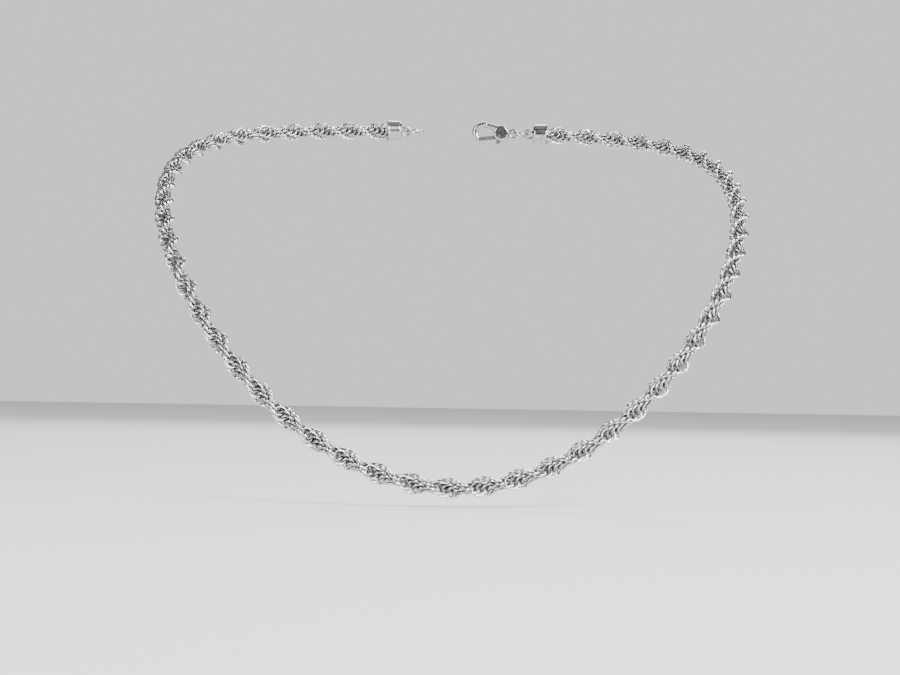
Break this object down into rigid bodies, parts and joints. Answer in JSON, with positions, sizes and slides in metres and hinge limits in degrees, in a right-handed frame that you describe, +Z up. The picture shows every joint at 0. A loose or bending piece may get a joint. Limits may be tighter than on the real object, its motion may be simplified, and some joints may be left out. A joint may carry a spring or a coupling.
{
  "type": "rope chain necklace",
  "caption": "Round-wire rope chain necklace hanging round a neck, its linked rings ending in cup caps with a sprung lobster clasp and a catch ring at the nape.",
  "frame": {"origin": "on the neck's axis, level with the widest points of the loop", "axes": "+Z up, -Y toward the throat, +X toward the side that carries the clasp"},
  "size_m": [0.1509, 0.1022, 0.102],
  "materials": {
    "chain_steel": "polished",
    "fitting_steel": "polished",
    "lever_steel": "fine satin",
    "spring_steel": "as rolled"
  },
  "bodies": {
    "front": {"chain_front": "chain_steel"},
    "right_01": {"chain_right_01": "chain_steel"},
    "right_02": {"chain_right_02": "chain_steel"},
    "right_03": {"chain_right_03": "chain_steel"},
    "right_04": {"chain_right_04": "chain_steel"},
    "right_05": {"chain_right_05": "chain_steel"},
    "right_06": {"chain_right_06": "chain_steel"},
    "right_07": {"chain_right_07": "chain_steel"},
    "right_08": {"chain_right_08": "chain_steel"},
    "right_09": {"chain_right_09": "chain_steel"},
    "right_10": {"chain_right_10": "chain_steel"},
    "right_11": {"chain_right_11": "chain_steel"},
    "right_12": {"chain_right_12": "chain_steel", "end_cap_right": "fitting_steel"},
    "left_01": {"chain_left_01": "chain_steel"},
    "left_02": {"chain_left_02": "chain_steel"},
    "left_03": {"chain_left_03": "chain_steel"},
    "left_04": {"chain_left_04": "chain_steel"},
    "left_05": {"chain_left_05": "chain_steel"},
    "left_06": {"chain_left_06": "chain_steel"},
    "left_07": {"chain_left_07": "chain_steel"},
    "left_08": {"chain_left_08": "chain_steel"},
    "left_09": {"chain_left_09": "chain_steel"},
    "left_10": {"chain_left_10": "chain_steel"},
    "left_11": {"chain_left_11": "chain_steel"},
    "left_12": {"chain_left_12": "chain_steel", "end_cap_left": "fitting_steel"},
    "jump_link": {"jump_ring": "fitting_steel"},
    "clasp": {"clasp_body": "fitting_steel", "clasp_rivet": "fitting_steel", "clasp_spring": "spring_steel"},
    "trigger": {"clasp_lever": "lever_steel"},
    "catch_link": {"catch_ring": "fitting_steel"}
  },
  "joints": [
    {"name": "bend_right_01", "type": "hinge", "parent": "front", "child": "right_01", "pos_m": [0.00696, -0.04847, -0.07311], "axis": [-0.0082, 1, 0], "range_deg": [-2, 2]},
    {"name": "bend_right_02", "type": "hinge", "parent": "right_01", "child": "right_02", "pos_m": [0.02258, -0.04808, -0.06842], "axis": [-0.4189, -0.0213, 0.9078], "range_deg": [-2, 2]},
    {"name": "bend_right_03", "type": "hinge", "parent": "right_02", "child": "right_03", "pos_m": [0.0373, -0.04657, -0.05924], "axis": [-0.1713, 0.9852, 0], "range_deg": [-2, 2]},
    {"name": "bend_right_04", "type": "hinge", "parent": "right_03", "child": "right_04", "pos_m": [0.04898, -0.04336, -0.04827], "axis": [0.661, 0.2685, -0.7007], "range_deg": [-2, 2]},
    {"name": "bend_right_05", "type": "hinge", "parent": "right_04", "child": "right_05", "pos_m": [0.05852, -0.03778, -0.03624], "axis": [-0.6328, 0.7743, 0], "range_deg": [-2, 2]},
    {"name": "bend_right_06", "type": "hinge", "parent": "right_05", "child": "right_06", "pos_m": [0.06619, -0.02892, -0.02335], "axis": [-0.3753, -0.6147, 0.6938], "range_deg": [-2, 2]},
    {"name": "bend_right_07", "type": "hinge", "parent": "right_06", "child": "right_07", "pos_m": [0.07086, -0.01807, -0.01206], "axis": [-0.9616, 0.2743, 0], "range_deg": [-2, 2]},
    {"name": "bend_right_08", "type": "hinge", "parent": "right_07", "child": "right_08", "pos_m": [0.07292, -0.00531, -0.00207], "axis": [0.0281, 0.5646, -0.8249], "range_deg": [-2, 2]},
    {"name": "bend_right_09", "type": "hinge", "parent": "right_08", "child": "right_09", "pos_m": [0.07188, 0.00959, 0.0069], "axis": [-0.9817, -0.1905, 0], "range_deg": [-2, 2]},
    {"name": "bend_right_10", "type": "hinge", "parent": "right_09", "child": "right_10", "pos_m": [0.06708, 0.02367, 0.01359], "axis": [0.1626, -0.3137, 0.9355], "range_deg": [-2, 2]},
    {"name": "bend_right_11", "type": "hinge", "parent": "right_10", "child": "right_11", "pos_m": [0.05746, 0.03589, 0.01835], "axis": [-0.6467, -0.7628, 0], "range_deg": [-2, 2]},
    {"name": "bend_right_12", "type": "hinge", "parent": "right_11", "child": "right_12", "pos_m": [0.04239, 0.04401, 0.02109], "axis": [-0.0948, 0.0307, -0.995], "range_deg": [-2, 2]},
    {"name": "bend_left_01", "type": "hinge", "parent": "front", "child": "left_01", "pos_m": [-0.00933, -0.04845, -0.07272], "axis": [-0.0118, -0.9999, 0], "range_deg": [-2, 2]},
    {"name": "bend_left_02", "type": "hinge", "parent": "left_01", "child": "left_02", "pos_m": [-0.0257, -0.0479, -0.06687], "axis": [-0.4659, 0.0315, -0.8843], "range_deg": [-2, 2]},
    {"name": "bend_left_03", "type": "hinge", "parent": "left_02", "child": "left_03", "pos_m": [-0.03997, -0.04606, -0.05704], "axis": [-0.2076, -0.9782, 0], "range_deg": [-2, 2]},
    {"name": "bend_left_04", "type": "hinge", "parent": "left_03", "child": "left_04", "pos_m": [-0.05187, -0.04206, -0.04496], "axis": [0.6522, -0.3256, 0.6845], "range_deg": [-2, 2]},
    {"name": "bend_left_05", "type": "hinge", "parent": "left_04", "child": "left_05", "pos_m": [-0.06131, -0.03523, -0.032], "axis": [-0.7155, -0.6986, 0], "range_deg": [-2, 2]},
    {"name": "bend_left_06", "type": "hinge", "parent": "left_05", "child": "left_06", "pos_m": [-0.0681, -0.02541, -0.01932], "axis": [-0.3037, 0.6314, -0.7135], "range_deg": [-2, 2]},
    {"name": "bend_left_07", "type": "hinge", "parent": "left_06", "child": "left_07", "pos_m": [-0.07204, -0.01299, -0.00776], "axis": [-0.9838, -0.1793, 0], "range_deg": [-2, 2]},
    {"name": "bend_left_08", "type": "hinge", "parent": "left_07", "child": "left_08", "pos_m": [-0.0729, 0.00129, 0.00219], "axis": [-0.0288, -0.5187, 0.8545], "range_deg": [-2, 2]},
    {"name": "bend_left_09", "type": "hinge", "parent": "left_08", "child": "left_09", "pos_m": [-0.07011, 0.01642, 0.01034], "axis": [-0.95, 0.3123, 0], "range_deg": [-2, 2]},
    {"name": "bend_left_10", "type": "hinge", "parent": "left_09", "child": "left_10", "pos_m": [-0.06246, 0.03076, 0.01646], "axis": [0.1794, 0.2216, -0.9585], "range_deg": [-2, 2]},
    {"name": "bend_left_11", "type": "hinge", "parent": "left_10", "child": "left_11", "pos_m": [-0.04922, 0.04127, 0.02019], "axis": [-0.4431, 0.8964, 0], "range_deg": [-2, 2]},
    {"name": "bend_left_12", "type": "hinge", "parent": "left_11", "child": "left_12", "pos_m": [-0.03267, 0.04637, 0.02186], "axis": [-0.0559, -0.0098, 0.9984], "range_deg": [-2, 2]},
    {"name": "jump_ring_swing", "type": "hinge", "parent": "right_12", "child": "jump_link", "pos_m": [0.02264, 0.04772, 0.02232], "axis": [0.1191, 0.9929, 0], "range_deg": [-50, 50]},
    {"name": "clasp_swing", "type": "hinge", "parent": "jump_link", "child": "clasp", "pos_m": [0.01887, 0.04818, 0.02247], "axis": [0.1191, 0.9929, 0], "range_deg": [-50, 50]},
    {"name": "clasp_trigger", "type": "hinge", "parent": "clasp", "child": "trigger", "pos_m": [0.01476, 0.04867, 0.02158], "axis": [0.1191, 0.9929, 0], "range_deg": [0, 22], "stiffness_Nm_per_rad": 0.004, "springref_deg": -20.05, "deforming": ["clasp_spring"]},
    {"name": "catch_ring_swing", "type": "hinge", "parent": "left_12", "child": "catch_link", "pos_m": [-0.01152, 0.04835, 0.02254], "axis": [-0.0521, 0.9986, 0], "range_deg": [-50, 50]}
  ]
}
